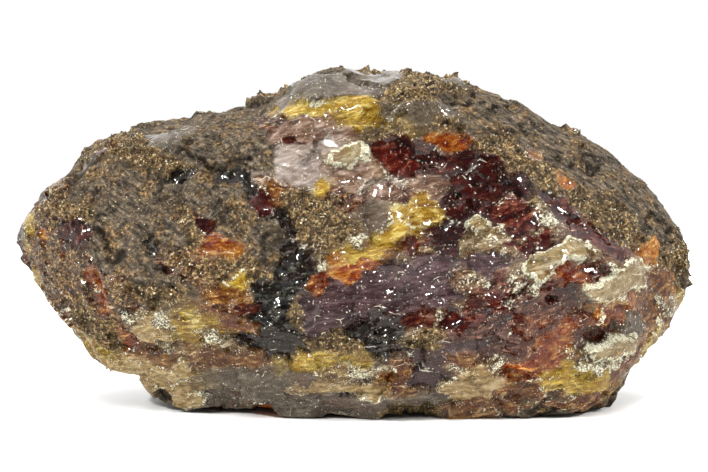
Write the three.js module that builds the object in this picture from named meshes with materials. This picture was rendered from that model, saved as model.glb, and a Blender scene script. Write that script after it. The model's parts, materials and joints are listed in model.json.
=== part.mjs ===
// A piece of raw amber, 80 mm long, lying on its flattest side. Millimetres, +Z up, -Y is the front.
//
// Amber hardens and breaks as one lump, so this is one solid. Its form comes in three steps:
//   1. the girth, the widest line round the stone as it is seen from the front
//   2. a pillow over that girth, rounded to the front and to the back
//   3. fractures: flat or slightly hollow faces where pieces have come off, the last of them the
//      level foot the stone rests on
// The stone is built round its core point. Along each direction from the core, the surface lies
// at the nearest of those limits, so it never folds over itself.

import * as THREE from "three";
import { mergeVertices } from "three/addons/utils/BufferGeometryUtils.js";

const LENGTH = 80; // along X
const HEIGHT = 41; // along Z
const HALF_DEPTH = 19.5; // of the pillow, before the fractures
const CORE = new THREE.Vector3(1, 0, 19.5);
const DETAIL = 20; // splits of each edge of the icosahedron
const GIRTH_FULLNESS = 0.78; // 1 is an ellipse, less is boxier
const DEPTH_FULLNESS = 0.88;
const EDGE_SOFTNESS = 1; // mm, how worn the edges between faces are
const GIRTH_STEPS = 12; // rays for each point of the girth
const WELD = 1e-5; // how close two corners of the starting ball must be to be one

// Step 1. The girth, from the left tip over the top: [x, y, z]. It wanders a little in depth, and
// it runs under the table's level along the underside, where the foot cuts it off.
const GIRTH = [
  [-40, -1, 20.5], [-38.6, -1, 23.6], [-36.2, 0, 27], [-33.4, 1, 29.3],
  [-32.3, 1, 31.1], [-29.2, 2, 32.6], [-24, 3, 34.1], [-16.4, 4, 35.8],
  [-10.8, 4, 37.1], [-6.6, 3, 39.5], [-3.6, 3, 40.7], [-0.5, 3, 40.9],
  [2.2, 3, 40.3], [5, 2, 41.1], [8.4, 2, 40.1], [12, 2, 39.6],
  [17.2, 3, 37.4], [20.4, 4, 36.2], [23.3, 4, 34.7], [26.5, 4, 33.5],
  [30.3, 3, 30.9], [34.4, 3, 27.7], [37.2, 2, 24.6], [39.5, 1, 20],
  [40, 0, 16.8], [39.4, -1, 13.1], [36.8, -2, 9.8], [33.9, -2, 6.9],
  [31.6, -2, 3.2], [28.6, -1, 0], [23, 0, -2.6], [8, 0, -3.2],
  [-7, 0, -2.8], [-12.6, 0, 0.4], [-17.4, -1, 1.4], [-21.4, -2, 1],
  [-24.2, -2, 2.6], [-25.6, -2, 5.1], [-29, -2, 6.3], [-31.9, -2, 8.7],
  [-34, -2, 11], [-36.8, -2, 14.2], [-39.3, -1, 17.9],
];

// Step 3. Fractures: a point on the face, the way it faces, and the radius of its hollow, where
// Infinity is a flat face. The front of the stone comes first, then its ends, its back, its foot.
const FRACTURES = [
  { name: "left weathered face", at: [-21, -12.6, 24], facing: [-0.22, -0.84, 0.5], hollow: Infinity },
  { name: "right weathered slope", at: [24, -10, 27], facing: [0.4, -0.6, 0.69], hollow: Infinity },
  { name: "crown", at: [-3, -6.5, 38], facing: [-0.06, -0.5, 0.86], hollow: 70 },
  { name: "gully", at: [-8, -13.4, 25], facing: [0.3, -0.84, 0.45], hollow: 42 },
  { name: "maroon hollow", at: [12, -11.8, 26.5], facing: [-0.02, -0.88, 0.47], hollow: 46 },
  { name: "long dusk face", at: [6, -16.6, 16.5], facing: [-0.12, -0.93, 0.34], hollow: 90 },
  { name: "ember face", at: [25, -14.6, 9.5], facing: [0.26, -0.95, -0.16], hollow: 70 },
  { name: "right cheek", at: [34, -9, 15], facing: [0.74, -0.66, -0.04], hollow: Infinity },
  { name: "underside front", at: [2, -13.8, 5], facing: [0, -0.8, -0.6], hollow: Infinity },
  { name: "lower left face", at: [-22, -12.8, 11], facing: [-0.24, -0.84, -0.48], hollow: Infinity },
  { name: "left snout", at: [-35, -6.5, 18], facing: [-0.72, -0.68, -0.1], hollow: Infinity },
  { name: "left snout back", at: [-34.5, 7, 20], facing: [-0.66, 0.72, 0.2], hollow: Infinity },
  { name: "right cheek back", at: [34, 9, 19], facing: [0.68, 0.7, 0.2], hollow: Infinity },
  { name: "back left slope", at: [-17, 13.6, 27], facing: [-0.16, 0.8, 0.57], hollow: Infinity },
  { name: "back right slope", at: [17, 12.8, 29], facing: [0.22, 0.72, 0.66], hollow: 90 },
  { name: "back shell", at: [3, 16.2, 19], facing: [-0.1, 0.98, 0.1], hollow: 60 },
  { name: "back left heel", at: [-18, 13.8, 11], facing: [-0.3, 0.84, -0.45], hollow: 90 },
  { name: "back right heel", at: [20, 14.4, 9], facing: [0.22, 0.84, -0.5], hollow: Infinity },
  { name: "foot", at: [8, 0, 1.3], facing: [0, 0, -1], hollow: Infinity },
];

// The girth as a closed smooth line, with each point's angle and distance about the core.
function girthRays() {
  const line = new THREE.CatmullRomCurve3(
    GIRTH.map((point) => new THREE.Vector3(...point)), true, "centripetal");
  return line.getPoints(GIRTH_STEPS * GIRTH.length).map((point) => {
    const fromCore = point.clone().sub(CORE);
    return {
      angle: Math.atan2(fromCore.z, fromCore.x),
      reach: Math.hypot(fromCore.x, fromCore.z),
      depth: fromCore.y,
    };
  }).sort((a, b) => a.angle - b.angle);
}

// The girth's reach and depth at one angle, between the two nearest rays.
function girthAt(rays, angle) {
  const next = rays.findIndex((ray) => ray.angle >= angle);
  const after = rays[Math.max(next, 0)];
  const before = rays[(next <= 0 ? rays.length : next) - 1];
  const turn = (value) => (value + 2 * Math.PI) % (2 * Math.PI);
  const share = turn(angle - before.angle) / Math.max(turn(after.angle - before.angle), 1e-9);
  return {
    reach: THREE.MathUtils.lerp(before.reach, after.reach, share),
    depth: THREE.MathUtils.lerp(before.depth, after.depth, share),
  };
}

// Step 2. The pillow's point, seen from the core, for a unit direction of the starting ball.
function pillowPoint(rays, ball) {
  const angle = Math.atan2(ball.z * HEIGHT, ball.x * LENGTH);
  const girth = girthAt(rays, angle);
  const outward = Math.pow(Math.hypot(ball.x, ball.z), GIRTH_FULLNESS);
  const inDepth = Math.sign(ball.y) * Math.pow(Math.abs(ball.y), DEPTH_FULLNESS);
  return new THREE.Vector3(
    girth.reach * outward * Math.cos(angle),
    girth.depth * outward + HALF_DEPTH * inDepth,
    girth.reach * outward * Math.sin(angle),
  );
}

// How far a fracture lets the surface go from the core along a direction.
function fractureLimit(fracture, direction) {
  const facing = new THREE.Vector3(...fracture.facing).normalize();
  const at = new THREE.Vector3(...fracture.at).sub(CORE);
  if (fracture.hollow === Infinity) {
    const approach = direction.dot(facing);
    return approach > 1e-6 ? at.dot(facing) / approach : Infinity;
  }
  const ballCentre = at.clone().addScaledVector(facing, fracture.hollow);
  const along = direction.dot(ballCentre);
  const missed = along * along - ballCentre.lengthSq() + fracture.hollow ** 2;
  return along > 0 && missed > 0 ? along - Math.sqrt(missed) : Infinity;
}

// The lesser of two limits, with the corner between them worn round: where the two are equal, a
// quarter of the softness is taken off.
function wornLeast(a, b) {
  const overlap = Math.max(EDGE_SOFTNESS - Math.abs(a - b), 0) / EDGE_SOFTNESS;
  return Math.min(a, b) - 0.25 * EDGE_SOFTNESS * overlap * overlap;
}

function stoneGeometry() {
  const rays = girthRays();
  const ball = new THREE.IcosahedronGeometry(1, DETAIL);
  ball.deleteAttribute("normal");
  ball.deleteAttribute("uv");
  const stone = mergeVertices(ball, WELD);
  const places = stone.getAttribute("position");
  const point = new THREE.Vector3();
  for (let i = 0; i < places.count; i += 1) {
    const pillow = pillowPoint(rays, point.fromBufferAttribute(places, i));
    const direction = pillow.clone().normalize();
    const reach = FRACTURES
      .map((fracture) => fractureLimit(fracture, direction))
      .reduce(wornLeast, pillow.length());
    point.copy(direction).multiplyScalar(reach).add(CORE);
    places.setXYZ(i, point.x, point.y, point.z);
  }
  return stone;
}

// Moves the stone so that the origin is on the table, under the middle of its box.
function standOnOrigin(geometry) {
  geometry.computeBoundingBox();
  const middle = geometry.boundingBox.getCenter(new THREE.Vector3());
  geometry.translate(-middle.x, -middle.y, -geometry.boundingBox.min.z);
  geometry.computeVertexNormals();
  return geometry;
}

const amber = new THREE.Mesh(
  standOnOrigin(stoneGeometry()),
  new THREE.MeshStandardMaterial({ color: 0x4a1d10, roughness: 0.25, metalness: 0 }),
);
amber.name = "amber";

const piece = new THREE.Group();
piece.add(amber);

export default piece;
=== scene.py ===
# %% [markdown]
# # A piece of raw amber
# Amber is tree resin that turned to stone in the ground. A raw piece shows three kinds of surface:
# dull weathered rind where it lay against the soil, glassy faces where it has broken since, and
# crumbly borders between the two. This lesson starts from a plain faceted solid of the right size
# and gives it those surfaces. Sizes are in millimetres, with +Z up and -Y the front, until a mesh
# is made, because that suits a stone this size.

import itertools
import json
import math
from functools import partial

import bmesh
import bpy
import numpy as np
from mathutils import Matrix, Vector
from mathutils.kdtree import KDTree

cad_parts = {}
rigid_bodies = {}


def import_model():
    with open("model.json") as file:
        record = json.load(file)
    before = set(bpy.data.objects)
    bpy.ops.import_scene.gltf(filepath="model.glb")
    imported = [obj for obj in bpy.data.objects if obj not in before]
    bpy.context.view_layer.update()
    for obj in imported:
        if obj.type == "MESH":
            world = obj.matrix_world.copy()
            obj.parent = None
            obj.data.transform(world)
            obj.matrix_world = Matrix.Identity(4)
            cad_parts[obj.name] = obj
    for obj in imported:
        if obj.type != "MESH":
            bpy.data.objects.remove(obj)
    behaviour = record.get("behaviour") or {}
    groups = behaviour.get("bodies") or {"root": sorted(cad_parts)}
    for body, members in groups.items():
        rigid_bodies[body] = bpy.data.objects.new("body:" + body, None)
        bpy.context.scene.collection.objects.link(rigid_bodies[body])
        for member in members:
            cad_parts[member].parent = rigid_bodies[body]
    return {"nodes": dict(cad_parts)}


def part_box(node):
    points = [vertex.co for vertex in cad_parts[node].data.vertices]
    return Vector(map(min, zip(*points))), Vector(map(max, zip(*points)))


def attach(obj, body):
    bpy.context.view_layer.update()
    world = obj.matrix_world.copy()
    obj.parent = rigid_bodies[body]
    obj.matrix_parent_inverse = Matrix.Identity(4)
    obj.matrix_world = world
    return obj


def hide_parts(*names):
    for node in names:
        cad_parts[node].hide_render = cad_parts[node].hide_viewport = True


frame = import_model()
scene = bpy.context.scene
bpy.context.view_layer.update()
MM = 0.001  # metres in a millimetre
low, high = (np.array(corner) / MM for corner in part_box("amber"))
print("solid, mm:", np.round(high - low, 1))

# %% [markdown]
# ## The camera and the table
# The camera comes first, so that every later step can be looked at. A long lens from close to table
# height keeps the stone's proportions. The table is one pale sheet, bright enough to come out
# white, so that only the soft shadow under the stone shows.

# %% Camera and table
LENS = 110  # mm
EYE_HEIGHT = math.radians(8)  # above the level of the stone
EYE_DISTANCE = 0.2541  # metres
AIM_HEIGHT = 0.49  # of the height of the stone

target = Vector((0, 0, AIM_HEIGHT * high[2] * MM))
camera = bpy.data.objects.new("camera", bpy.data.cameras.new("camera"))
camera.data.lens = LENS
camera.data.clip_start = 0.01
camera.location = target + EYE_DISTANCE * Vector((0, -math.cos(EYE_HEIGHT), math.sin(EYE_HEIGHT)))
camera.rotation_euler = (math.pi / 2 - EYE_HEIGHT, 0, 0)
scene.collection.objects.link(camera)
bpy.context.scene.camera = camera

TABLE_REACH = 0.15  # metres, well past the shadow
TABLE_SIDES = 96
rim_turns = [2 * math.pi * side / TABLE_SIDES for side in range(TABLE_SIDES)]
table_sheet = bpy.data.meshes.new("table")
table_sheet.from_pydata(
    [(TABLE_REACH * math.cos(turn), TABLE_REACH * math.sin(turn), 0) for turn in rim_turns],
    [], [tuple(range(TABLE_SIDES))])
table = bpy.data.objects.new("table", table_sheet)
scene.collection.objects.link(table)

# %% [markdown]
# ## Short calls for node trees
# A material is a graph of nodes. These helpers add a node and feed it in one line, so that the
# recipes below read like recipes.

# %% Node helpers
def put(tree, kind, inputs=None, **settings):
    """Adds a node. Each input is a value, a socket that feeds it, or a node whose first output does."""
    node = tree.nodes.new(kind)
    for name, value in settings.items():
        setattr(node, name, value)
    for name, value in (inputs or {}).items():
        if isinstance(value, bpy.types.Node):
            value = value.outputs[0]
        if isinstance(value, bpy.types.NodeSocket):
            tree.links.new(value, node.inputs[name])
        else:
            node.inputs[name].default_value = value
    return node


def reckon(operation, tree, *values):
    """One step of arithmetic."""
    return put(tree, "ShaderNodeMath", dict(enumerate(values)), operation=operation).outputs[0]


plus, minus = partial(reckon, "ADD"), partial(reckon, "SUBTRACT")
times, larger = partial(reckon, "MULTIPLY"), partial(reckon, "MAXIMUM")


def remap(tree, value, start, end, low=0.0, high=1.0):
    """Value stretched from start..end to low..high, and clamped there."""
    return put(tree, "ShaderNodeMapRange", {
        0: value, 1: start, 2: end, 3: low, 4: high}).outputs[0]


MIX_SHARE, MIX_FIRST, MIX_SECOND, MIX_RESULT = 0, 6, 7, 2  # sockets of a Mix node set to colour


def tinted(tree, share, first, second):
    """The first colour turning into the second as share goes from 0 to 1."""
    sockets = {MIX_SHARE: share, MIX_FIRST: first, MIX_SECOND: second}
    return put(tree, "ShaderNodeMix", sockets, data_type="RGBA").outputs[MIX_RESULT]


NUMBER, COLOUR, PLACE = "NodeSocketFloat", "NodeSocketColor", "NodeSocketVector"
GEOMETRY, WHOLE_NUMBER = "NodeSocketGeometry", "NodeSocketInt"


def make_group(name, kind, inputs, outputs):
    """A node group, with its inner sockets."""
    tree = bpy.data.node_groups.new(name, kind)
    for side, sockets in (("INPUT", inputs), ("OUTPUT", outputs)):
        for label, socket in sockets.items():
            tree.interface.new_socket(label, in_out=side, socket_type=socket)
    return tree, tree.nodes.new("NodeGroupInput").outputs, tree.nodes.new("NodeGroupOutput").inputs


def noise(tree, places, scale, detail=4.0, roughness=0.55, distortion=0.0):
    return put(tree, "ShaderNodeTexNoise", {
        "Vector": places, "Scale": scale, "Detail": detail,
        "Roughness": roughness, "Distortion": distortion}).outputs["Fac"]


def stretched(tree, places, angle, stretch):
    """Places in which noise is drawn out along a line that falls to the right by an angle."""
    return put(tree, "ShaderNodeMapping", {
        "Vector": places, "Rotation": (0, math.radians(angle), 0), "Scale": (stretch, 1, 1)},
        vector_type="TEXTURE")


def stored(tree, name, output="Fac"):
    return put(tree, "ShaderNodeAttribute", attribute_name=name).outputs[output]


def millimetres(tree):
    """The object's own coordinates, in mm, so that scales are in lumps per millimetre."""
    place = put(tree, "ShaderNodeTexCoord").outputs["Object"]
    return put(tree, "ShaderNodeVectorMath", {0: place, "Scale": 1 / MM}, operation="SCALE").outputs[0]


def new_material(name):
    material = bpy.data.materials.new(name)
    material.use_nodes = True
    material.node_tree.nodes.clear()
    return material, material.node_tree


def colour(red, green, blue):
    return (red, green, blue, 1.0)


# %% [markdown]
# ## Light
# The stone stands in a white tent: soft white all round and overhead, dimmer on the side where the
# viewer stands. The bright top lays a grey sheen on the faces that look up, and the dim side lets
# the faces that look forward keep their deep red. A large lamp overhead gives the tent a
# direction, and a fill lamp in front lifts the shadows; neither is mirrored by the stone, where
# they would lie as a white haze. The three small lamps are mirrored, and give the glints. Mirrored
# rays see the table as if a dark card lay on it, so that shiny faces don't turn milky.

# %% Tent and lamps
TENT_GLOW = 1.24

scene.view_settings.view_transform = "Standard"
tent = bpy.data.worlds.new("tent")
tent.use_nodes = True
scene.world = tent
sky = tent.node_tree
sky.nodes.clear()
aim = put(sky, "ShaderNodeSeparateXYZ", {0: put(sky, "ShaderNodeTexCoord").outputs["Generated"]})
behind = remap(sky, aim.outputs["Y"], -0.75, 0.1, 0.1, 1.0)
overhead = remap(sky, aim.outputs["Z"], 0.3, 0.9, 0.0, 0.5)
tent_glow = times(sky, larger(sky, behind, overhead), TENT_GLOW)
seen = put(sky, "ShaderNodeLightPath").outputs["Is Camera Ray"]
lit_side, white_side = (put(sky, "ShaderNodeBackground", {
    "Color": colour(1, 1, 1), "Strength": strength}) for strength in (tent_glow, 1.0))
tent_mix = put(sky, "ShaderNodeMixShader", {0: seen, 1: lit_side, 2: white_side})
put(sky, "ShaderNodeOutputWorld", {"Surface": tent_mix})


def lamp(name, place, size, power, mirrored=True):
    """A square soft lamp at a place in metres, turned to the stone."""
    data = bpy.data.lights.new(name, "AREA")
    data.size = size
    data.energy = power
    thing = bpy.data.objects.new(name, data)
    thing.location = place
    thing.rotation_euler = (target - Vector(place)).to_track_quat("-Z", "Y").to_euler()
    thing.visible_glossy = mirrored
    scene.collection.objects.link(thing)


lamp("overhead_lamp", (0.03, 0.1, 0.5), 0.35, 2.4, mirrored=False)
lamp("left_lamp", (-0.4, -0.3, 0.38), 0.03, 3.0)
lamp("right_lamp", (0.42, -0.24, 0.4), 0.03, 2.3)
lamp("middle_lamp", (0.06, -0.34, 0.5), 0.02, 0.7)
lamp("fill_lamp", (0, -0.4, 0.45), 0.2, 1.7, mirrored=False)

paper, tree = new_material("white_paper")
sheet = put(tree, "ShaderNodeBsdfPrincipled", {"Base Color": colour(0.93, 0.93, 0.92), "Roughness": 0.6})
dark_card = put(tree, "ShaderNodeBsdfDiffuse", {"Color": colour(0.45, 0.43, 0.4)})
mirrored = put(tree, "ShaderNodeLightPath").outputs["Is Glossy Ray"]
sheet_mix = put(tree, "ShaderNodeMixShader", {0: mirrored, 1: sheet, 2: dark_card})
put(tree, "ShaderNodeOutputMaterial", {"Surface": sheet_mix})
table.data.materials.append(paper)

# %% [markdown]
# ## A finer skin
# The solid's facets are about 1.5 mm across, and the stone needs much finer detail. Voxel
# remeshing gives an even net of small faces over any closed shape, which suits a surface that has
# no rows or loops of its own. A few rounds of smoothing take the old facets away.

# %% Remesh the solid
SKIN_SPACING = 0.37  # mm, the voxel; finer would pass 200,000 triangles
SMOOTHING_ROUNDS = 12
skin = bpy.data.objects.new("amber_stone", frame["nodes"]["amber"].data.copy())
scene.collection.objects.link(skin)
skin.data.materials.clear()
net = bmesh.new()
net.from_mesh(skin.data)
bmesh.ops.remove_doubles(net, verts=net.verts, dist=1e-6)
net.to_mesh(skin.data)
net.free()
voxels = skin.modifiers.new("voxels", "REMESH")
voxels.mode = "VOXEL"
voxels.voxel_size = SKIN_SPACING * MM
smoother = skin.modifiers.new("smoother", "SMOOTH")
smoother.factor = 0.5
smoother.iterations = SMOOTHING_ROUNDS


def settle(thing):
    """Turns an object's live modifiers into plain mesh."""
    made = bpy.data.meshes.new_from_object(thing.evaluated_get(bpy.context.evaluated_depsgraph_get()))
    thing.modifiers.clear()
    old, thing.data = thing.data, made
    bpy.data.meshes.remove(old)


settle(skin)


def read_vectors(mesh, name):
    """The place or the normal of each point of a mesh, as rows of three."""
    flat = np.empty(3 * len(mesh.vertices), np.float32)
    mesh.vertices.foreach_get(name, flat)
    return flat.reshape(-1, 3).astype(float)


points = read_vectors(skin.data, "co") / MM
normals = read_vectors(skin.data, "normal")
print("skin:", len(points), "points,", len(skin.data.polygons), "faces")

# %% [markdown]
# ## Noise
# Value noise gives each corner of a grid a number and blends between them. Layers of it at
# smaller and smaller sizes make the wander that no natural edge or surface is without.

# %% Noise on points
def smooth_step(value, start, end):
    share = np.clip((value - start) / (end - start), 0, 1)
    return share * share * (3 - 2 * share)


def lattice_noise(places, size, seed):
    """Smooth wander from -1 to 1, in lumps about size mm across."""
    cell = places / size
    corner = np.floor(cell).astype(np.int64)
    share = smooth_step(cell - corner, 0, 1)
    total = np.zeros(len(places))
    for step in itertools.product((0, 1), repeat=3):
        at = corner + step
        mixed = at[:, 0] * 73856093 ^ at[:, 1] * 19349663 ^ at[:, 2] * 83492791 ^ seed * 7919
        mixed = (mixed ^ (mixed >> 13)) * 1274126177 & 0xFFFFFFFF
        mixed = (mixed ^ (mixed >> 16)) & 0xFFFF
        weight = np.prod(np.where(step, share, 1 - share), axis=1)
        total += weight * (mixed / 32767.5 - 1)
    return total


def layered_noise(places, size, seed, layers=3):
    """Several sizes of wander on top of each other, still about -1 to 1."""
    total = sum(lattice_noise(places, size / 2**i, seed + 17 * i) / 2**i for i in range(layers))
    return total / 1.5


# %% [markdown]
# ## The faces of the stone
# A raw piece of amber is a patchwork of faces, and each face has a finish of its own: one is wine
# red and smooth, the next a chalky bruise, the next is rind. A face is an oval on the skin with a
# lean, so that its plane meets its neighbours in a ridge or a small ledge. The front's faces are
# listed one by one, because they are what makes this stone this stone. Each one is
# (x, z, half length, half height, turn in degrees, look up), with the last two left out where
# they are zero. A face that looks up, above zero, catches the sheen of the sky, and one that looks
# down lets the eye into the stone.

# %% The faces of the front, by finish
FRONT_FACES = {
    "rind": [
        (-30, 27, 4, 3, -20, 0.1), (-26, 25, 4, 4, -35), (-22, 23, 4, 2, -40), (-27, 20, 4, 2, -15),
        (-17, 31, 4, 3, -30, 0.1), (-12, 32, 5, 2, -35, 0.1), (-17, 25, 5, 1, -38), (-11, 20, 4, 1, -38),
        (-22, 17, 4, 1, -15), (15, 36, 4, 1, -20, 0.1), (18, 34, 5, 2, -30, 0.1), (24, 31, 6, 3, -38),
        (29, 27, 6, 3, -45), (34, 23, 4, 3, -50)],
    "earth": [
        (-32, 30, 2, 1, 35), (-27, 32, 3, 1, 18, 0.1), (-23, 30, 3, 1, -35), (-17, 35, 4, 1, 12, 0.1),
        (-19, 23, 3, 1, -50), (-23, 15, 4, 1, -12), (-14, 18, 3, 1, 5), (-6, 24, 3, 2, 15, -0.1),
        (-3, 22, 3, 1, -15), (0, 22, 2, 1, -20), (7, 38, 4, 2, -3, 0.1), (13, 38, 3, 2, -15, 0.1),
        (4, 33, 4, 1, -15), (11, 33, 2, 1), (15, 32, 3, 1, -35), (20, 29, 3, 1, -40), (25, 26, 3, 1, -38),
        (30, 22, 3, 1, -35), (35, 19, 2, 1, -50), (38, 18, 1, 3, 80), (-2, 9, 3, 1, 5), (8, 10, 2, 1, 30),
        (-6, 13, 1, 2, 10), (26, 33, 2, 1, -30, 0.1)],
    "rubble": [
        (-37, 18, 2, 3, 10), (-35, 23, 2, 3, -20), (-35, 14, 3, 2, -45, -0.1), (-32, 18, 3, 2, -25),
        (-30, 13, 4, 1, -50, -0.1), (-27, 15, 3, 2, -30), (-21, 19, 3, 1, -10), (-27, 11, 2, 1, -30),
        (-17, 18, 2, 1), (-1, 25, 3, 1, 5)],
    "tar": [
        (-14, 29, 2, 2, -30, -0.2), (-12, 27, 2, 1, -40), (-8, 23, 3, 1, -42), (-7, 18, 3, 2, -50, 0.1),
        (-9, 15, 2, 2, 20), (-9, 9, 4, 2, -8), (3, 11, 3, 2, 12, -0.1), (3, 8, 2, 1), (-20, 28, 1, 1),
        (-23, 21, 1, 1), (-22, 19, 1, 1)],
    "wine": [
        (5, 30, 4, 2, -5, -0.1), (17, 24, 3, 2, -30, -0.2), (19, 21, 3, 1, 15, -0.2),
        (24, 24, 2, 2, -35, -0.2), (29, 20, 3, 1, -15), (27, 18, 3, 1, -20), (-7, 32, 1, 1),
        (-10, 25, 1, 2, 10), (-17, 23, 2, 1, 10, -0.1), (13, 13, 6, 1, 6), (5, 26, 2, 1), (18, 16, 4, 1, 5)],
    "night": [
        (11, 30, 4, 1, -5, -0.2), (14, 27, 4, 3, 0, -0.2), (18, 28, 4, 1, -42, -0.2), (10, 22, 2, 2),
        (23, 15, 3, 1, 8, -0.3), (28, 10, 3, 1, 5, -0.3)],
    # dusk faces: their mauve-grey tint is partly the amber's dark colour, partly a painted sheen
    "dusk": [
        (-3, 14, 3, 2, 40, 0.1), (2, 16, 4, 2, 25, 0.1), (7, 18, 4, 2, 15, 0.1), (13, 19, 4, 1, 8, 0.1),
        (10, 15, 5, 1, 8), (12, 9, 3, 1, 10), (8, 6, 2, 3, -60)],
    "ember": [
        (-15, 21, 2, 1), (11, 32, 2, 1, -5), (-2, 18, 3, 1, 20), (24, 18, 3, 1, -12), (27, 12, 5, 1, 6),
        (22, 9, 2, 3, -30), (-30, 17, 2, 1, -35), (-29, 13, 1, 2), (-26, 9, 1, 1)],
    "fire": [
        (34, 19, 1.3, 0.8), (37, 16, 1.5, 0.7, -45), (24, 27, 0.6, 0.8), (22, 34, 1, 0.5, -35),
        (30, 13, 2, 0.4, 5), (-36, 20, 0.7, 1.5, 10), (-30, 32, 0.8, 0.5, 30), (-12, 20, 0.8, 0.4)],
    "honey": [
        (-5, 36, 3, 1), (0, 36, 2, 1, -8), (3, 21, 4, 1, 25), (-3, 27, 1, 1), (24, 5, 3, 2, 5, -0.1),
        (28, 4, 2, 2, 10), (-3, 7, 4, 1, 10), (-38, 23, 1, 2, 50), (-13, 17, 1, 1)],
    "olive": [
        (-18, 11, 3, 2, -10, -0.1), (-38, 20, 1, 3), (-39, 22, 1, 2, -20), (6, 24, 2, 2),
        (-9, 35, 2, 1, 15), (2, 34, 3, 1, -5), (-38, 15, 3, 0.8, -50), (-34, 10, 3, 0.8, -40),
        (-29, 7, 3, 0.7, -25), (38, 11, 3, 0.8, 55), (35, 8, 3, 0.8, 50), (32, 4, 3, 0.8, 60)],
    "umber": [
        (-14, 15, 3, 1, 10), (-13, 11, 3, 1), (-18, 7, 4, 1, 5), (15, 2, 4, 1, 0, -0.2),
        (35, 12, 4, 2, -30), (33, 8, 2, 2, -60), (24, 1, 5, 1), (-24, 8, 2, 1), (5, 5, 2, 2, -50),
        (11, 8, 2, 1, 30)],
    # smoke faces: their grey tint is partly the amber's colour, partly a painted sheen
    "smoke_painted_sheen": [
        (-13, 4, 5, 1, 0, 0.1), (-8, 5, 4, 1, -5, 0.1), (-2, 2, 7, 1, 3), (-2, 38, 5, 3, 5, 0.1),
        (3, 39, 5, 3, 0, 0.1), (8, 35, 4, 1, 5, 0.1), (11, 38, 4, 1, -20, 0.1), (8, 2, 3, 1)],
    # silver faces: their pale tint is a painted reflection of the light, over the real sheen of faces that
    # look up
    "silver_painted_sheen": [
        (-4, 31, 3, 1, -5, 0.2), (-6, 28, 3, 1, 0, 0.1), (4, 27, 3, 0.6, 12, 0.2)],
    "satin": [
        (-5, 33, 4, 1, -5, 0.1), (1, 32, 3, 1, -35), (5, 26, 4, 1, 12), (-4, 29, 2, 0.5, 10), (1, 28, 2, 1)],
    "russet": [
        (16, 17, 3, 1, 5), (14, 11, 5, 1, 10), (18, 9, 3, 1, 20), (21, 13, 3, 1, 5),
        (18, 14, 4, 0.6, 6, -0.1), (22, 11, 2, 1, 20)],
    "chip": [
        (23, 20, 4, 1.5, 22, 0.1), (30, 16, 5, 2, 3, 0.1), (1, 29, 2, 1, -35), (14, 23, 3, 1, -5),
        (30, 7, 1, 1, 20, 0.1), (-1, 30, 1, 1)],
    "fawn": [
        (14, 5, 4, 1, 3, 0.1), (-23, 10, 2, 2, -20), (-1, 4, 5, 1, -3, 0.1), (-20, 5, 3, 1, -10),
        (-21, 3, 3, 1, -5)],
    "bruise": [
        (21, 25, 1, 2), (27, 7, 2, 0.7, -20, 0.1), (14, 7, 4, 0.6, 8), (37, 12, 2, 0.7, -55),
        (9, 20, 3, 0.4, 10), (15, 20, 3, 0.4, 5), (20, 22, 2, 0.4, 25), (27, 20, 2, 0.5, -38),
        (-25, 12, 1, 0.7, 20), (-21, 8, 2, 0.5, -35), (-16, 9, 3, 0.4, -20), (-21, 12, 2, 0.5, 60),
        (18, 18, 0.7, 0.6), (20, 16, 0.7, 0.7), (13, 17, 0.7, 0.5), (8, 28, 1, 0.6), (8, 12, 3, 0.4, 35),
        (2, 6, 3, 0.7, 5), (0, 21, 2, 0.5, 10), (12, 15, 0.6, 0.6), (32, 5, 0.8, 0.8),
        (34, 15, 2, 0.6, -50), (24, 13, 0.8, 0.5), (-4, 19, 0.6, 1.5)],
}
print("front faces:", sum(len(rows) for rows in FRONT_FACES.values()))

# %% [markdown]
# ## Finishes
# A finish says what the stuff just under the skin looks like. Its tint is the colour, and its haze
# is how much of that colour hides the clear amber behind it. Swing is how unevenly deep the colour
# goes. Grain is how crumbly it is, rind how weathered, and bruise how crushed. Depth is how far
# the face is broken in, in mm, and rim is how much of its border has been crushed white. No glassy
# finish has a full haze, because part of what one sees in amber is light that has been inside.

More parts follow.
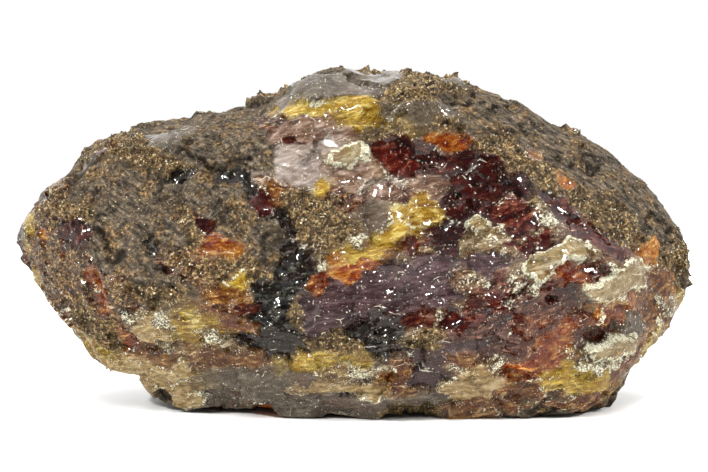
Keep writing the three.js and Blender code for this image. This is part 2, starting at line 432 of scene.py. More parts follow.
# %% The finishes
FINISHES = {
    "rind": dict(tint=(0.06, 0.048, 0.03), haze=1, grain=0.2, rind=1, depth=0.2),
    "earth": dict(tint=(0.085, 0.055, 0.024), haze=1, grain=1, rind=0.2, depth=0.3),
    "rubble": dict(tint=(0.12, 0.04, 0.011), haze=0.5, swing=1.2, grain=0.52, depth=0.1, rim=0.4),
    "tar": dict(tint=(0.014, 0.013, 0.009), haze=0.85, swing=0.7, grain=0.4, rind=0.2, depth=1.1),
    "wine": dict(tint=(0.075, 0.011, 0.004), haze=0.55, swing=0.8, depth=0.5, rim=0.25),
    "night": dict(tint=(0.024, 0.005, 0.003), haze=0.6, swing=0.5, depth=0.8, rim=0.25),
    # dusk: a dark red-brown body with a painted mauve-grey sheen in its tint
    "dusk": dict(tint=(0.046, 0.026, 0.026), haze=0.85, swing=0.35, rim=0.2, depth=0.2),
    "ember": dict(tint=(0.36, 0.098, 0.008), haze=0.4, swing=1, depth=0.4, rim=0.2),
    "fire": dict(tint=(0.5, 0.2, 0.012), haze=0.5, swing=1, depth=0.2, rim=0.1),
    "honey": dict(tint=(0.47, 0.325, 0.05), haze=0.55, swing=0.7, depth=0.3, rim=0.35),
    "olive": dict(tint=(0.36, 0.24, 0.038), haze=0.55, swing=1, depth=0.2, rim=0.4),
    "umber": dict(tint=(0.2, 0.085, 0.017), haze=0.6, swing=0.9, depth=0.3, rim=0.45),
    "fawn": dict(tint=(0.32, 0.23, 0.105), haze=0.75, swing=0.5, depth=-0.4, rim=0.5),
    # smoke: a grey-brown tint that holds a painted sheen
    "smoke_painted_sheen": dict(tint=(0.11, 0.086, 0.06), haze=0.7, swing=0.35, grain=0.1, rim=0.15),
    "satin": dict(tint=(0.17, 0.106, 0.072), haze=0.85, swing=0.5, depth=0.3, rim=0.2),
    "russet": dict(tint=(0.1, 0.036, 0.02), haze=0.65, swing=0.8, rim=0.25, depth=0.2),
    # silver: a pale tint that paints the mirror-like sheen of the face
    "silver_painted_sheen": dict(tint=(0.27, 0.222, 0.19), haze=0.85, swing=0.45, depth=0.3, rim=0.2),
    "chip": dict(tint=(0.35, 0.275, 0.145), haze=0.55, swing=0.6, grain=0.05, depth=-0.7, rim=1),
    "bruise": dict(tint=(0.19, 0.13, 0.055), haze=0.6, swing=0.9, grain=0.1, bruise=0.58, depth=-0.1),
}
FINISH_NAMES = list(FINISHES)
SCALARS = ("haze", "swing", "grain", "rind", "bruise", "depth", "rim")
finish_tints = np.array([finish["tint"] for finish in FINISHES.values()])
finish_scalars = np.array([
    [finish.get(name, 0.0) for name in SCALARS] for finish in FINISHES.values()])
print(len(FINISHES), "finishes")

# %% [markdown]
# ## Which face a point belongs to
# Every point of the skin is measured against every oval, and joins the lowest. The measure is 0 at
# an oval's border and falls towards its middle, and it falls further in a small oval, so that a
# small face laid over a big one still shows. Outside, it grows with the distance in mm. The
# measuring is done from a wandered copy of the points, so no border is a clean ellipse.

# %% Measure the ovals
WANDER = 0.5  # mm, how far the borders stray
BORDER_CELL = 1.5  # mm, the length of a border's straight stretches
CELL_PULL = 0.75  # 1 would make the borders follow the cells all the way
OVAL_DEPTH = 1.5  # mm, how much further than its half height an oval reaches into the stone
OUTER_SLOPE = 0.6  # how fast the measure grows outside an oval
BACKWARD = 0.3  # a normal that points back more than this belongs to the back
FAR_OFF = 1000  # mm, where points that don't face the front are taken to be


def nearest_seeds(spacing, seed):
    """Scatters seeds about spacing mm apart, and finds the one nearest to each point."""
    pick = np.random.default_rng(seed)
    count = int(len(points) * SKIN_SPACING**2 / (1.6 * spacing**2))
    seeds = pick.choice(len(points), count, replace=False)
    tree = KDTree(count)
    for number, i in enumerate(seeds):
        tree.insert(points[i], number)
    tree.balance()
    moved = points + 0.15 * spacing * wander
    return seeds, np.array([tree.find(place)[1] for place in moved])


wander = np.stack([layered_noise(points, 2.6, 100 + axis, 3) for axis in range(3)], axis=1)
seeds, found = nearest_seeds(BORDER_CELL, 20)
cell_pull = CELL_PULL * (points[seeds[found]] - points)
loose = (points + cell_pull + WANDER * wander).astype(np.float32)
faces, face_gaps = [], []  # what each face is like, and how far each point is from it


def precedence(half_height):
    """How strongly a face of this size holds its own ground."""
    return 1 + 2 / half_height


def add_face(i, half_length, half_height, turn, lean, sink, finish):
    """Adds a face about point i of the skin, and how far every point is from it."""
    normal = normals[i]
    along = np.array([1.0, 0, 0]) if abs(normal[2]) > 0.97 else np.cross((0, 0, 1.0), normal)
    along /= np.linalg.norm(along)
    side = -1 if normal[1] > BACKWARD else 1  # a turn means the same from the front and the back
    along *= side
    up = side * np.cross(normal, along)
    turned_along = math.cos(turn) * along + math.sin(turn) * up
    turned_up = math.cos(turn) * up - math.sin(turn) * along
    away = loose - points[i].astype(np.float32)
    scaled = np.sqrt((away @ turned_along / half_length) ** 2
                     + (away @ turned_up / half_height) ** 2
                     + (away @ normal / (OVAL_DEPTH + half_height)) ** 2)
    steepness = np.where(scaled < 1, precedence(half_height), OUTER_SLOPE * half_height)
    face_gaps.append(((scaled - 1) * steepness).astype(np.float32))
    sink += FINISHES[finish].get("depth", 0.0)
    faces.append((points[i], half_height, lean, sink, FINISH_NAMES.index(finish)))


def front_point(x, z):
    """The index of the front's point at x, z."""
    handicap = np.where(normals[:, 1] < 0.05, 0, FAR_OFF)
    return int(np.argmin(np.hypot(points[:, 0] - x, points[:, 2] - z) + handicap))


# %% Lay the front's faces
TIP = 0.2  # how far a face leans of itself
deal = np.random.default_rng(4)
for finish, rows in FRONT_FACES.items():
    for x, z, half_length, half_height, *rest in rows:
        turn, look_up = (rest + [0, 0])[:2]
        lean = np.array([deal.uniform(-TIP, TIP), 0, deal.uniform(-TIP, TIP) / 2 - look_up])
        add_face(front_point(x, z), half_length, half_height, math.radians(turn),
                 lean, deal.uniform(-0.1, 0.2), finish)
print("front faces laid:", len(faces))

# %% [markdown]
# ## The rest of the stone
# Where no oval is near, new ones are dealt out at random until none of the skin is bare. On the
# front they are small, and most take after a neighbour. On the back, the ends and the underside
# the rind lies in large connected areas. One wide shell-shaped break there has taken the rind off,
# and shows the same glassy ground as the front.

# %% Fill what is bare
BARE = 0.45  # the lowest measure of a bare point
TAKES_AFTER = 0.75  # share of the front's new faces that are like their neighbour
# the smoke faces dealt here and below carry a painted sheen in their tint
FRONT_DECK = ["umber"] * 4 + ["earth"] * 5 + ["smoke_painted_sheen"] * 2 + ["wine"] * 2 + ["night"] + ["rubble"] * 3
# the dusk faces dealt here carry a painted sheen in their tint
BROKEN_DECK = ["wine"] * 5 + ["night"] * 3 + ["dusk"] * 4 + ["russet"] * 4 + ["umber"] * 5 + [
    "ember"] * 2 + ["olive"] * 2 + ["smoke_painted_sheen"] * 2 + ["chip", "honey", "bruise", "rubble", "earth"]
BREAK_CENTRE = (7, 17, 17)  # mm, the shell-shaped break on the back
BREAK_RADIUS = 17
from_break = np.linalg.norm((points - BREAK_CENTRE) * (0.7, 1, 1), axis=1)
weathered = layered_noise(points, 14.0, 61) + 0.9 * smooth_step(points[:, 2] / high[2], 0.5, 0.9)
weathered -= 1.5 * smooth_step(from_break, BREAK_RADIUS, 0.5 * BREAK_RADIUS)


def fill(region, deal, choose, smallest, largest):
    """Deals faces over the bare points of a region, until it has none."""
    nearest = np.min(face_gaps, axis=0)
    while np.any(region & (nearest > BARE)):
        i = deal.choice(np.flatnonzero(region & (nearest > BARE)))
        half_height = deal.uniform(smallest, largest)
        add_face(i, half_height * deal.uniform(1.2, 2.4), half_height, deal.uniform(-0.6, 0.3),
                 deal.uniform(-0.15, 0.15, 3), deal.uniform(-0.1, 0.3), choose(i, deal))
        nearest = np.minimum(nearest, face_gaps[-1])


def front_finish(i, deal):
    if deal.random() < TAKES_AFTER:
        return FINISH_NAMES[faces[int(np.argmin([gap[i] for gap in face_gaps]))][-1]]
    return deal.choice(FRONT_DECK)


def back_finish(i, deal):
    if weathered[i] > 0:
        return "earth" if deal.random() < 0.15 else "rind"
    return deal.choice(BROKEN_DECK)


on_front = normals[:, 1] < -0.25
fill(on_front, np.random.default_rng(6), front_finish, 0.8, 1.8)
fill(~on_front, np.random.default_rng(7), back_finish, 1.4, 4.0)
gaps = np.array(face_gaps)
face_gaps.clear()
print("faces in all:", len(gaps))

# %% [markdown]
# ## Cutting the faces
# A point moves in or out along its normal by the height of its face's leaning plane there. Near a
# border it takes a share of its neighbours' planes as well, over about a tenth of a millimetre,
# which keeps the edges as sharp as broken amber's. Which face owns a point is kept, because broken
# amber turns white where two faces meet.

# %% Cut the faces
SHARPNESS = 0.12  # mm, how wide the blend at a border is
TINT_SHARPNESS = 0.05  # mm, the same for the colours
MEET = 4  # faces that may share in one point
STEEPEST = 0.6  # mm, the most a leaning plane may rise or fall
order = np.argpartition(gaps, MEET, axis=0)[:MEET]
spread = np.take_along_axis(gaps, order, axis=0)
ranks = np.argsort(spread, axis=0)
order = np.take_along_axis(order, ranks, axis=0)
spread = np.take_along_axis(spread, ranks, axis=0)
del gaps
centres, sizes, leans, sinks, finishes = (np.array(column) for column in zip(*faces))
reach = sizes / precedence(sizes)  # mm for each unit of the measure
apart = (spread - spread[0]) * reach[order[0]]
share, tint_share = (np.exp(-apart / width) for width in (SHARPNESS, TINT_SHARPNESS))
share /= share.sum(axis=0)
tint_share /= tint_share.sum(axis=0)
away = points[None] - centres[order]
slope = np.clip(np.einsum("kni,kni->kn", away, leans[order]), -STEEPEST, STEEPEST)
rise = (share * (slope - sinks[order])).sum(axis=0)
owner = order[0]
finish_of = finishes[order]
tint = np.einsum("kn,knv->nv", tint_share, finish_tints[finish_of])
haze, swing, grain, rind, bruise, _, rim = np.einsum("kn,knv->vn", tint_share, finish_scalars[finish_of])
print("rise of the faces, mm:", round(rise.min(), 2), "to", round(rise.max(), 2))

# %% [markdown]
# ## Smaller breaks and crumbs
# The same idea again, smaller, gives chips across the glassy faces and lumps in the crumbly ones.
# Here each point simply takes the tilted plane of the nearest seed.

# %% Chips and crumbs
def tilted_cells(spacing, seed, steepness):
    """Heights of a random mosaic of tilted flats, about spacing mm across."""
    seeds, found = nearest_seeds(spacing, seed)
    pick = np.random.default_rng(seed)
    tilt = pick.normal(0, steepness, (len(seeds), 3))
    lift = pick.normal(0, 0.3 * steepness * spacing, len(seeds))
    away = points - points[seeds[found]]
    away -= normals * np.einsum("ni,ni->n", away, normals)[:, None]
    return np.einsum("ni,ni->n", away, tilt[found]) + lift[found]


glassy = np.clip(1 - grain - rind, 0, 1)
chipped = smooth_step(layered_noise(points, 6.0, 5), 0.1, 0.6) * glassy
rise += tilted_cells(3.4, 21, 0.16) * (0.5 + 0.5 * chipped) * (1 - 0.7 * rind)
rise += tilted_cells(1.4, 22, 0.24) * np.clip(0.8 * grain + 0.6 * chipped + 0.05 * glassy, 0, 1)
rise += tilted_cells(0.8, 23, 0.3) * grain
rise += 0.12 * layered_noise(points, 1.2, 31) * grain

# %% [markdown]
# ## The rind's grooves and pits
# Weathered rind is streaky: it wears along the old flow lines of the resin. The streaks are noise
# on points that have been squeezed along one direction. Pits are sunk where another noise peaks,
# and dark, wandering shrinkage cracks where yet another passes through zero. All of the skin but
# the underside is drawn in a little at the end, so that crumbs and ridges come out level with the
# solid.

# %% Rind relief
INSET = 0.5  # mm, how far the skin is drawn in
PIT_DEPTH = 0.5  # mm
CRACK_DEPTH = 0.4  # mm
SQUEEZE = 0.84  # 1 would draw the streaks out for ever
SHARP_ANGLE = math.radians(32)  # a crease sharper than this stays crisp
STREAK = np.array([0.74, -0.15, -0.65])  # along the grooves, down to the right
STREAK /= np.linalg.norm(STREAK)
lengthwise = points @ STREAK
squeezed = points - SQUEEZE * lengthwise[:, None] * STREAK
# each a height in mm, times noise with lumps of a size in mm
rise += rind * 0.19 * layered_noise(squeezed, 0.8, 41)
rise += rind * 0.16 * layered_noise(squeezed, 3.0, 42)
rise += rind * 0.06 * layered_noise(points, 0.8, 44, 2)
pits = rind * smooth_step(layered_noise(points, 1.7, 43), 0.5, 0.8)
crack_line = smooth_step(np.abs(layered_noise(points, 6.5, 45, 4)), 0.05, 0.012)
cracks = rind * crack_line * smooth_step(layered_noise(points, 8.0, 46, 2), -0.2, 0.05)
rise -= PIT_DEPTH * pits + CRACK_DEPTH * cracks
underside = smooth_step(-normals[:, 2], 0.6, 0.9)
rise -= INSET * (1 - underside)

points = points + normals * rise[:, None]
points[:, 2] = np.maximum(points[:, 2], 0)


def write_points(mesh, places):
    mesh.vertices.foreach_set("co", (places * MM).astype(np.float32).ravel())
    mesh.update()


write_points(skin.data, points)
skin.data.shade_smooth()
skin.data.set_sharp_from_angle(angle=SHARP_ANGLE)
print("rise in all, mm:", round(rise.min(), 2), "to", round(rise.max(), 2))

# %% [markdown]
# ## Keeping the layout on the skin
# What each point has learned is stored on the mesh as attributes, which materials and Geometry
# Nodes can read. Two of them need the finished shape as well: hollow, where it dips between its
# neighbours and gets dirt and painted shade, and bruise, where a border or a ridge has been
# crushed.

# %% Store the attributes
edges = np.empty(2 * len(skin.data.edges), np.int32)
skin.data.edges.foreach_get("vertices", edges)
edges = edges.reshape(-1, 2)
meetings = np.bincount(edges.ravel(), minlength=len(points))


def neighbour_mean(values):
    """Each point's mean over the points it shares an edge with."""
    columns = values.reshape(len(values), -1)
    total = np.stack([
        np.bincount(edges[:, 0], column[edges[:, 1]], len(points))
        + np.bincount(edges[:, 1], column[edges[:, 0]], len(points)) for column in columns.T], axis=1)
    return (total / meetings[:, None]).reshape(values.shape)


normals = read_vectors(skin.data, "normal")
bulge = neighbour_mean(np.einsum("ni,ni->n", points - neighbour_mean(points), normals)) / SKIN_SPACING
ridge = smooth_step(bulge, 0.08, 0.2)
# hollow: the dips, cracks and pits, which the amber material darkens as dirt and as painted shade
hollow = np.clip(smooth_step(-bulge, 0.03, 0.15) + cracks + 0.8 * pits, 0, 1)
patchy = smooth_step(layered_noise(points, 2.2, 51), -0.15, 0.5)
cut_edges = edges[owner[edges[:, 0]] != owner[edges[:, 1]]]
border = np.zeros(len(points))
border[cut_edges.ravel()] = 1
crushed = border * np.clip(rim * (0.4 + 0.6 * patchy) + 2 * np.maximum(rim - 0.5, 0), 0, 1) * glassy
bruise *= 0.35 + 0.65 * smooth_step(layered_noise(points, 1.5, 52), -0.3, 0.35)
bruise = np.clip(np.maximum(bruise, crushed + 0.5 * ridge * glassy * patchy), 0, 1)


def store(mesh, name, values):
    """Keeps one number for each point, or a colour where there are three."""
    kind, field = ("FLOAT", "value") if values.ndim == 1 else ("FLOAT_COLOR", "color")
    if kind == "FLOAT_COLOR":
        values = np.concatenate([values, np.ones((len(values), 1))], axis=1)
    mesh.attributes.new(name, kind, "POINT").data.foreach_set(field, values.astype(np.float32).ravel())


STRAY = 8  # rounds of averaging, in which crumbs and rind stray past their faces
for _ in range(STRAY):
    grain = neighbour_mean(grain)
    rind = neighbour_mean(rind)
grain *= 1 - smooth_step(bruise, 0.3, 0.6)
grain *= 0.45 + 0.55 * smooth_step(tint[:, 0], 0.02, 0.05)  # few crumbs hold on the smooth black faces
haze = np.maximum(haze, smooth_step(-normals[:, 2], 0.45, 0.8))  # dirt covers the underside
layout = dict(tint=tint, haze=haze, swing=swing, grain=grain, rind=rind, bruise=bruise,
              hollow=hollow)
for name, values in layout.items():
    store(skin.data, name, values)
print({name: round(float(values.mean()), 2) for name, values in layout.items()})

# %% [markdown]
# ## What the skin is made of
# The recipe starts the amber material. The glassy body comes first: light that goes twice as deep
# comes back with its colour squared, so the tint is raised to the power of an uneven depth, which
# turns yellow into orange and orange into wine red, as real thickness does. Crumbs, rind, crushed
# places and dust are laid over that, and the hollows are darkened, as dirt and as painted shade.
# The masks of crumbs, rind and crushed places are roughened with fine noise before they are used,
# so that one stuff gives way to the next in specks.

# %% Masks and scales of colour
def roughened(tree, mask, grit, strength, start, end):
    """A soft mask made speckled: grit eats into it before it is cut at start..end."""
    push = times(tree, minus(tree, grit, 0.5), strength)
    return remap(tree, plus(tree, mask, push), start, end)


def ramp(tree, share, *stops):
    """A colour from a scale of colours, each stop its place, red, green and blue."""
    node = put(tree, "ShaderNodeValToRGB", {"Fac": share})
    elements = node.color_ramp.elements
    while len(elements) < len(stops):
        elements.new(0.5)
    for element, (position, *shade) in zip(elements, stops):
        element.position = position
        element.color = colour(*shade)
    return node.outputs["Color"]


amber, g = new_material("amber")
place = millimetres(g)
laid = {name: stored(g, name) for name in layout}
laid["tint"] = stored(g, "tint", "Color")
cloud = noise(g, place, 0.45, 3)
mottle = noise(g, place, 1.1, 4, 0.65)
fine = noise(g, place, 2.6, 5, 0.7)
dust = noise(g, place, 6.5, 3, 0.75)
flow = noise(g, stretched(g, place, -10, 6), 1.3, 3, 0.6, 0.4)
groove = noise(g, stretched(g, place, 40, 4), 1.9, 6, 0.7)

# %% Glassy body, crumbs, rind
swirl = noise(g, stretched(g, place, -20, 2), 0.8, 5, 0.6, 1.5)
fibre = noise(g, stretched(g, place, -8, 7), 2.6, 5, 0.7, 0.8)
depth_mix = plus(g, times(g, swirl, 0.5), times(g, fibre, 0.5))
spare_depth = remap(g, depth_mix, 0.4, 0.62, -0.6, 1.4)
path = plus(g, times(g, spare_depth, laid["swing"]), 1.0)
body = put(g, "ShaderNodeGamma", {"Color": laid["tint"], "Gamma": path})
speckle = plus(g, times(g, fine, 0.6), times(g, dust, 0.4))
crumb_colour = ramp(g, speckle, (0.4, 0.003, 0.002, 0.001), (0.46, 0.028, 0.011, 0.004),
                    (0.51, 0.12, 0.066, 0.022), (0.56, 0.31, 0.21, 0.08),
                    (0.63, 0.62, 0.47, 0.19))
crumb_share = roughened(g, laid["grain"], fine, 1.8, 0.45, 0.6)
crumbly = tinted(g, crumb_share, body, tinted(g, 0.1, crumb_colour, laid["tint"]))
rind_grey = ramp(g, groove, (0.37, 0.007, 0.005, 0.003), (0.45, 0.041, 0.031, 0.021),
                 (0.54, 0.083, 0.064, 0.043), (0.64, 0.18, 0.138, 0.092))
rind_patch = plus(g, times(g, cloud, 0.6), times(g, mottle, 0.4))
rind_brown = tinted(g, remap(g, rind_patch, 0.49, 0.6, 0, 0.75), rind_grey, ramp(
    g, fine, (0.4, 0.018, 0.009, 0.004), (0.5, 0.105, 0.058, 0.022), (0.6, 0.3, 0.185, 0.07)))
rind_specks = tinted(g, remap(g, speckle, 0.57, 0.62, 0, 0.85), rind_brown, colour(0.44, 0.29, 0.105))
rind_pitted = tinted(g, remap(g, speckle, 0.46, 0.41, 0, 0.95), rind_specks, colour(0.005, 0.004, 0.003))
rind_share = roughened(g, laid["rind"], fine, 1.0, 0.4, 0.6)
rinded = tinted(g, rind_share, crumbly, rind_pitted)

# %% Crushed places, dust, and dirt and painted shade in the hollows
crush_share = roughened(g, laid["bruise"], speckle, 4.0, 0.42, 0.6)
crush_colour = ramp(g, dust, (0.36, 0.12, 0.095, 0.04), (0.47, 0.4, 0.37, 0.23),
                    (0.6, 0.82, 0.83, 0.68))
crushed_over = tinted(g, crush_share, rinded, crush_colour)
flecks = put(g, "ShaderNodeTexVoronoi", {"Vector": place, "Scale": 1.7})
fleck_share = times(g, remap(g, flecks.outputs["Distance"], 0.19, 0.1), remap(g, mottle, 0.46, 0.54))
bend = put(g, "ShaderNodeTexNoise", {"Vector": place, "Scale": 0.5, "Detail": 3.0}).outputs["Color"]
bent = put(g, "ShaderNodeVectorMath", {0: place, 1: bend}, operation="ADD")
hairs = put(g, "ShaderNodeTexVoronoi", {"Vector": bent, "Scale": 0.23}, feature="DISTANCE_TO_EDGE")
hair_share = times(g, remap(g, hairs.outputs["Distance"], 0.012, 0.003), remap(g, flow, 0.56, 0.62))
glass_share = minus(g, 1.0, larger(g, rind_share, crumb_share))
mark_share = times(g, larger(g, fleck_share, hair_share), glass_share)
marked = times(g, mark_share, 0.85)
flecked = tinted(g, marked, crushed_over, colour(0.62, 0.56, 0.44))
# painted shade, partly dirt: hollows on crumbly and rind ground go nearly black
shade_and_dirt_zone = remap(g, plus(g, laid["grain"], laid["rind"]), 0.0, 1.0, 0.2, 0.8)
dirt_and_painted_shade = tinted(g, times(g, laid["hollow"], shade_and_dirt_zone), flecked, colour(0.006, 0.004, 0.003))

# %% How rough, how high, how solid
dull = larger(g, larger(g, rind_share, crush_share), times(g, crumb_share, 0.6))
roughness = times(g, remap(g, dull, 0, 1, 0.07, 0.66), remap(g, dust, 0.3, 0.7, 0.6, 1.25))
gritty = remap(g, larger(g, crumb_share, crush_share), 0, 1, 0.01, 1.0)
grit_height = times(g, minus(g, speckle, 0.5), gritty)
groove_height = times(g, minus(g, groove, 0.5), times(g, rind_share, 0.8))
height = plus(g, grit_height, groove_height)
solid = larger(g, larger(g, larger(g, crush_share, rind_share), marked), crumb_share)
print("nodes so far:", len(g.nodes))

# %% [markdown]
# ## Amber
# The stone's material mixes three finishes. One is clear amber: full transmission, amber's index
# of refraction, and absorption that lets red through more easily than green and blue, so that
# thin places glow yellow, thicker ones orange and red, and the heart of the stone is nearly black.
# The other two are the solid stuff on and just under the skin: a glossy one for clean breaks and
# a dusty one for powdery ground. The masks worked out above choose between the three.

# %% The amber material
AMBER_INDEX = 1.54
DUSTY_INDEX = 1.25  # powdery ground mirrors far less than a clean break
ABSORPTION = 480  # per metre, of blue light
ABSORPTION_COLOUR = colour(0.85, 0.54, 0.0)
SKIN_RELIEF = 0.45 * MM
GLASS_RELIEF = 0.1 * MM

skin_bump = put(g, "ShaderNodeBump", {"Height": height, "Distance": SKIN_RELIEF})
solid_stuff, dusty_stuff = (put(g, "ShaderNodeBsdfPrincipled", {
    "Base Color": dirt_and_painted_shade, "Roughness": roughness, "IOR": index, "Normal": skin_bump})
    for index in (AMBER_INDEX, DUSTY_INDEX))
ground = put(g, "ShaderNodeMixShader", {0: dull, 1: solid_stuff, 2: dusty_stuff})
ripple = noise(g, place, 0.8, 3)
glass_bump = put(g, "ShaderNodeBump", {"Height": ripple, "Strength": 0.5, "Distance": GLASS_RELIEF})
clear = put(g, "ShaderNodeBsdfPrincipled", {
    "Base Color": colour(1.0, 0.96, 0.88), "Roughness": 0.04, "IOR": AMBER_INDEX,
    "Transmission Weight": 1.0, "Normal": glass_bump})
open_to_lamps = put(g, "ShaderNodeBsdfTransparent", {"Color": colour(0.9, 0.85, 0.75)})
lamp_ray = put(g, "ShaderNodeLightPath").outputs["Is Shadow Ray"]
see_in = put(g, "ShaderNodeMixShader", {0: lamp_ray, 1: clear, 2: open_to_lamps})
surface = put(g, "ShaderNodeMixShader", {0: larger(g, solid, laid["haze"]), 1: see_in, 2: ground})
inside = put(g, "ShaderNodeVolumeAbsorption", {"Color": ABSORPTION_COLOUR, "Density": ABSORPTION})
put(g, "ShaderNodeOutputMaterial", {"Surface": surface, "Volume": inside})
skin.data.materials.append(amber)
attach(skin, "root")
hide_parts("amber")

# %% [markdown]
# ## Loose crumbs
# Crumbly amber is made of real grains, and no bump map catches the light as they do. Geometry
# Nodes scatter them: points are dealt over the skin where a mask says so, each gets one of a few
# angular grains, turned and sized at random, and all of them are made real mesh at the end. A
# grain is the convex hull of a few random points, because broken resin is angular. The points
# carry the skin's own tint along, so grains match the ground they lie on.

# %% A few grain shapes
GRAIN_CORNERS = 9
GRAIN_KINDS = 5


def add_shape(shapes, name, net):
    """Turns a net into a mesh object of a collection."""
    mesh = bpy.data.meshes.new(name)
    net.to_mesh(mesh)
    net.free()
    shapes.objects.link(bpy.data.objects.new(name, mesh))


def grain_shapes(name, flatness):
    """A collection of angular grains, one unit across, to be scattered and then thrown away."""
    shapes = bpy.data.collections.new(name)
    dice = np.random.default_rng(len(name))
    for kind in range(GRAIN_KINDS):
        net = bmesh.new()
        for corner in dice.normal(0, 1, (GRAIN_CORNERS, 3)):
            reach = 0.5 * dice.uniform(0.75, 1.0) / np.linalg.norm(corner)
            net.verts.new(corner * reach * (1, 0.8, flatness))
        hull = bmesh.ops.convex_hull(net, input=net.verts)
        inner = [item for item in hull["geom_interior"] if isinstance(item, bmesh.types.BMVert)]
        bmesh.ops.delete(net, geom=inner, context="VERTS")
        bmesh.ops.recalc_face_normals(net, faces=net.faces)
        add_shape(shapes, f"{name}_{kind}", net)
    return shapes


# %% The scattering tree
SMALLNESS = 2.2  # 1 would make all sizes equally common
FULL_TURN = 6.28
ONSET = 0.35  # how far above its start a mask is when the grains lie at their thickest


def chance(tree, seed):
    """A random number from 0 to 1 for each point."""
    return put(tree, "FunctionNodeRandomValue", {"Seed": seed}, data_type="FLOAT").outputs[1]


def scatter_tree(name, mask, shapes, material):
    """Deals grains over a skin where its attribute called mask is high."""
    tree, given, result = make_group(
        name, "GeometryNodeTree",
        {"Skin": GEOMETRY, "Per square mm": NUMBER, "Smallest": NUMBER, "Largest": NUMBER,
         "Above": NUMBER, "Seed": WHOLE_NUMBER},
        {"Grains": GEOMETRY},
    )
    where = put(tree, "GeometryNodeInputNamedAttribute", {"Name": mask}, data_type="FLOAT")
    here = remap(tree, where, given["Above"], plus(tree, given["Above"], ONSET))
    thickly = times(tree, given["Per square mm"], 1 / MM**2)
    dealt = put(tree, "GeometryNodeDistributePointsOnFaces", {
        "Mesh": given["Skin"], "Density": times(tree, thickly, here),
        "Seed": given["Seed"]})
    kinds = put(tree, "GeometryNodeCollectionInfo", {"Collection": shapes, "Separate Children": True})
    turn = put(tree, "FunctionNodeRandomValue", {
        "Min": (0, 0, 0), "Max": [FULL_TURN] * 3, "Seed": given["Seed"]}, data_type="FLOAT_VECTOR")
    mostly_small = reckon("POWER", tree, chance(tree, plus(tree, given["Seed"], 1)), SMALLNESS)
    size = remap(tree, mostly_small, 0, 1, times(tree, given["Smallest"], MM),
                 times(tree, given["Largest"], MM))
    laid = put(tree, "GeometryNodeInstanceOnPoints", {
        "Points": dealt.outputs["Points"], "Instance": kinds, "Pick Instance": True,
        "Rotation": turn, "Scale": size})
    shade = chance(tree, plus(tree, given["Seed"], 2))
    marked = put(tree, "GeometryNodeStoreNamedAttribute", {
        "Geometry": laid, "Name": "shade", "Value": shade}, data_type="FLOAT", domain="INSTANCE")
    real = put(tree, "GeometryNodeRealizeInstances", {"Geometry": marked})
    finished = put(tree, "GeometryNodeSetMaterial", {"Geometry": real, "Material": material})
    tree.links.new(finished.outputs[0], result["Grains"])
    return tree


def scatter(name, ground, mask, shapes, material, slot, **settings):
    """A piece of grains over a mesh, made plain mesh."""
    tree = scatter_tree(name, mask, shapes, material)
    thing = bpy.data.objects.new(name, ground.copy())
    scene.collection.objects.link(thing)
    modifier = thing.modifiers.new("scatter", "NODES")
    modifier.node_group = tree
    for item in tree.interface.items_tree:
        setting = item.name.lower().replace(" ", "_")
        if item.in_out == "INPUT" and setting in settings:
            modifier[item.identifier] = settings[setting]
    settle(thing)
    for shape in list(shapes.objects):
        bpy.data.meshes.remove(shape.data)
    bpy.data.collections.remove(shapes)
    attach(thing, "root")
    triangles = sum(len(face.vertices) - 2 for face in thing.data.polygons)
    print(name, len(thing.data.vertices), "points,", triangles, "triangles")


# %% [markdown]
# ## What the grains are made of
# Each grain got a number of its own, its shade, and that picks its colour from a scale: black
# humus, brown, ochre, straw, and now and then a clear orange one. The look is one group, because
# crumbs, grit and flakes differ only in their colours and their gloss. A slow noise shifts the
# shade, so that one patch of crumbs is nearly black and the next is golden.

# %% The look of a grain
SCALE = ("Black", "Brown", "Ochre", "Straw", "Clear")  # the colours of a grain, by its shade
SCALE_STARTS = (0.1, 0.31, 0.51, 0.9)  # the shades at which each colour gives way to the next
SCALE_BLEND = 0.1
OWN_SHARE = 0.6  # how much of its shade is the grain's own; the rest is its patch of ground's
DRIFT = 0.25  # how far past the ends of the scale a patch may go
GRAIN_RELIEF = 0.1 * MM

grain_look, given, result = make_group(
    "grain_look", "ShaderNodeTree",
    {"Place": PLACE, "Shade": NUMBER, "Tint": COLOUR, "Ground": NUMBER,
     **{label: COLOUR for label in SCALE}},
    {"Colour": COLOUR, "Grit": NUMBER},
)
g = grain_look
drift = remap(g, noise(g, given["Place"], 0.9, 4, 0.65), 0.36, 0.64, -DRIFT, 1 + DRIFT - OWN_SHARE)
shade = plus(g, times(g, given["Shade"], OWN_SHARE), drift)
own = given[SCALE[0]]
for label, begin in zip(SCALE[1:], SCALE_STARTS):
    own = tinted(g, remap(g, shade, begin, begin + SCALE_BLEND), own, given[label])
grounded = tinted(g, given["Ground"], own, given["Tint"])
grit = noise(g, given["Place"], 5.0, 3)
dirt_colour = colour(0.01, 0.006, 0.004)
g.links.new(tinted(g, remap(g, grit, 0.42, 0.6, 0.55, 0.0), grounded, dirt_colour), result["Colour"])
g.links.new(grit, result["Grit"])


# %% Grain materials
def grain_material(name, gloss, ground_share, *scale):
    """A grain's finish: its colours from black to clear, and how much of the ground's tint it has."""
    material, tree = new_material(name)
    look = put(tree, "ShaderNodeGroup", {
        "Place": millimetres(tree), "Shade": stored(tree, "shade"), "Tint": stored(tree, "tint", "Color"),
        "Ground": ground_share, **{label: colour(*shade) for label, shade in zip(SCALE, scale)}},
        node_tree=grain_look)
    grit = look.outputs["Grit"]
    bump = put(tree, "ShaderNodeBump", {"Height": grit, "Strength": 0.7, "Distance": GRAIN_RELIEF})
    finish = put(tree, "ShaderNodeBsdfPrincipled", {
        "Base Color": look.outputs["Colour"], "Roughness": remap(tree, grit, 0.3, 0.7, gloss, gloss + 0.3),
        "IOR": AMBER_INDEX, "Normal": bump})
    put(tree, "ShaderNodeOutputMaterial", {"Surface": finish})
    return material


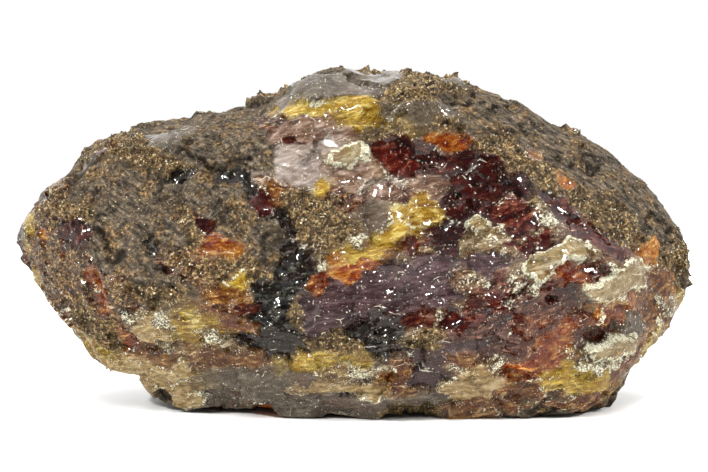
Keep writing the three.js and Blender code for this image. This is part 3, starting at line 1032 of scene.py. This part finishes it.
crumb = grain_material(
    "crumb", 0.16, 0.08, (0.004, 0.003, 0.002), (0.05, 0.027, 0.012), (0.23, 0.162, 0.068),
    (0.78, 0.74, 0.5), (0.56, 0.16, 0.012))
grit = grain_material(
    "grit", 0.45, 0.35, (0.008, 0.006, 0.004), (0.045, 0.035, 0.022), (0.11, 0.08, 0.044),
    (0.34, 0.24, 0.12), (0.46, 0.33, 0.16))
flake = grain_material(
    "flake", 0.12, 0.1, (0.07, 0.06, 0.028), (0.24, 0.215, 0.11), (0.48, 0.46, 0.3),
    (0.76, 0.76, 0.62), (0.9, 0.9, 0.83))

# %% Scatter them
scatter("crumbs", skin.data, "grain", grain_shapes("crumb_shape", 0.8), crumb, "rind",
        per_square_mm=6.8, smallest=0.1, largest=0.4, above=0.5, seed=3)
scatter("grit", skin.data, "rind", grain_shapes("grit_shape", 0.6), grit, "rind",
        per_square_mm=0.45, smallest=0.1, largest=0.34, above=0.6, seed=8)
scatter("flakes", skin.data, "bruise", grain_shapes("flake_shape", 0.35), flake, "rind",
        per_square_mm=6.0, smallest=0.08, largest=0.3, above=0.5, seed=13)

# %% [markdown]
# ## What is sealed in
# Clear amber is never empty. Pressure has split it from within into small flat cracks, spangles,
# which mirror the light like foil. There are bubbles, and dark shreds of bark that the resin ran
# over. They are scattered in the same way, but over a copy of the skin that lies about 2 mm
# deeper, and only where the amber in front of them is clear. Seen at a slant, a bubble's wall
# mirrors all the light from the amber round it, so it gets a metal's shine.

# %% Ground below the clear faces
SEALED_DEPTH = 1.9  # mm below the skin
DEPTH_SPREAD = 0.7  # mm, how far that wanders
sunk = skin.data.copy()
sealed_depths = SEALED_DEPTH + DEPTH_SPREAD * layered_noise(points, 3.0, 71)
write_points(sunk, points - normals * sealed_depths[:, None])
bright_enough = smooth_step(tint[:, 0], 0.12, 0.16)  # in the darkest faces nothing would show
clear_enough = np.clip((0.75 - haze) / 0.2, 0, 1)
store(sunk, "window", bright_enough * clear_enough * (1 - np.clip(bruise + grain, 0, 1)))

# %% Spangles, bubbles and shreds
def plain_material(name, shade, roughness, metallic=0.0):
    """A finish with the same values all over."""
    material, tree = new_material(name)
    finish = put(tree, "ShaderNodeBsdfPrincipled", {
        "Base Color": shade, "Roughness": roughness, "Metallic": metallic})
    put(tree, "ShaderNodeOutputMaterial", {"Surface": finish})
    return material


ball = bmesh.new()
bmesh.ops.create_uvsphere(ball, u_segments=8, v_segments=6, radius=0.5)
for face in ball.faces:
    face.smooth = True
bubble_shape = bpy.data.collections.new("bubble_shape")
add_shape(bubble_shape, "bubble_shape", ball)
spangle = plain_material("spangle", colour(0.9, 0.74, 0.36), 0.22, metallic=0.7)
bubble = plain_material("bubble", colour(0.95, 0.85, 0.6), 0.05, metallic=0.5)
shred = plain_material("shred", colour(0.02, 0.01, 0.005), 0.5)
scatter("spangles", sunk, "window", grain_shapes("spangle_shape", 0.05), spangle, "inclusion",
        per_square_mm=0.16, smallest=0.4, largest=1.9, above=0.2, seed=21)
scatter("bubbles", sunk, "window", bubble_shape, bubble, "inclusion",
        per_square_mm=0.08, smallest=0.12, largest=0.5, above=0.2, seed=27)
scatter("shreds", sunk, "window", grain_shapes("shred_shape", 0.2), shred, "inclusion",
        per_square_mm=0.1, smallest=0.2, largest=1.2, above=0.2, seed=33)
bpy.data.meshes.remove(sunk)
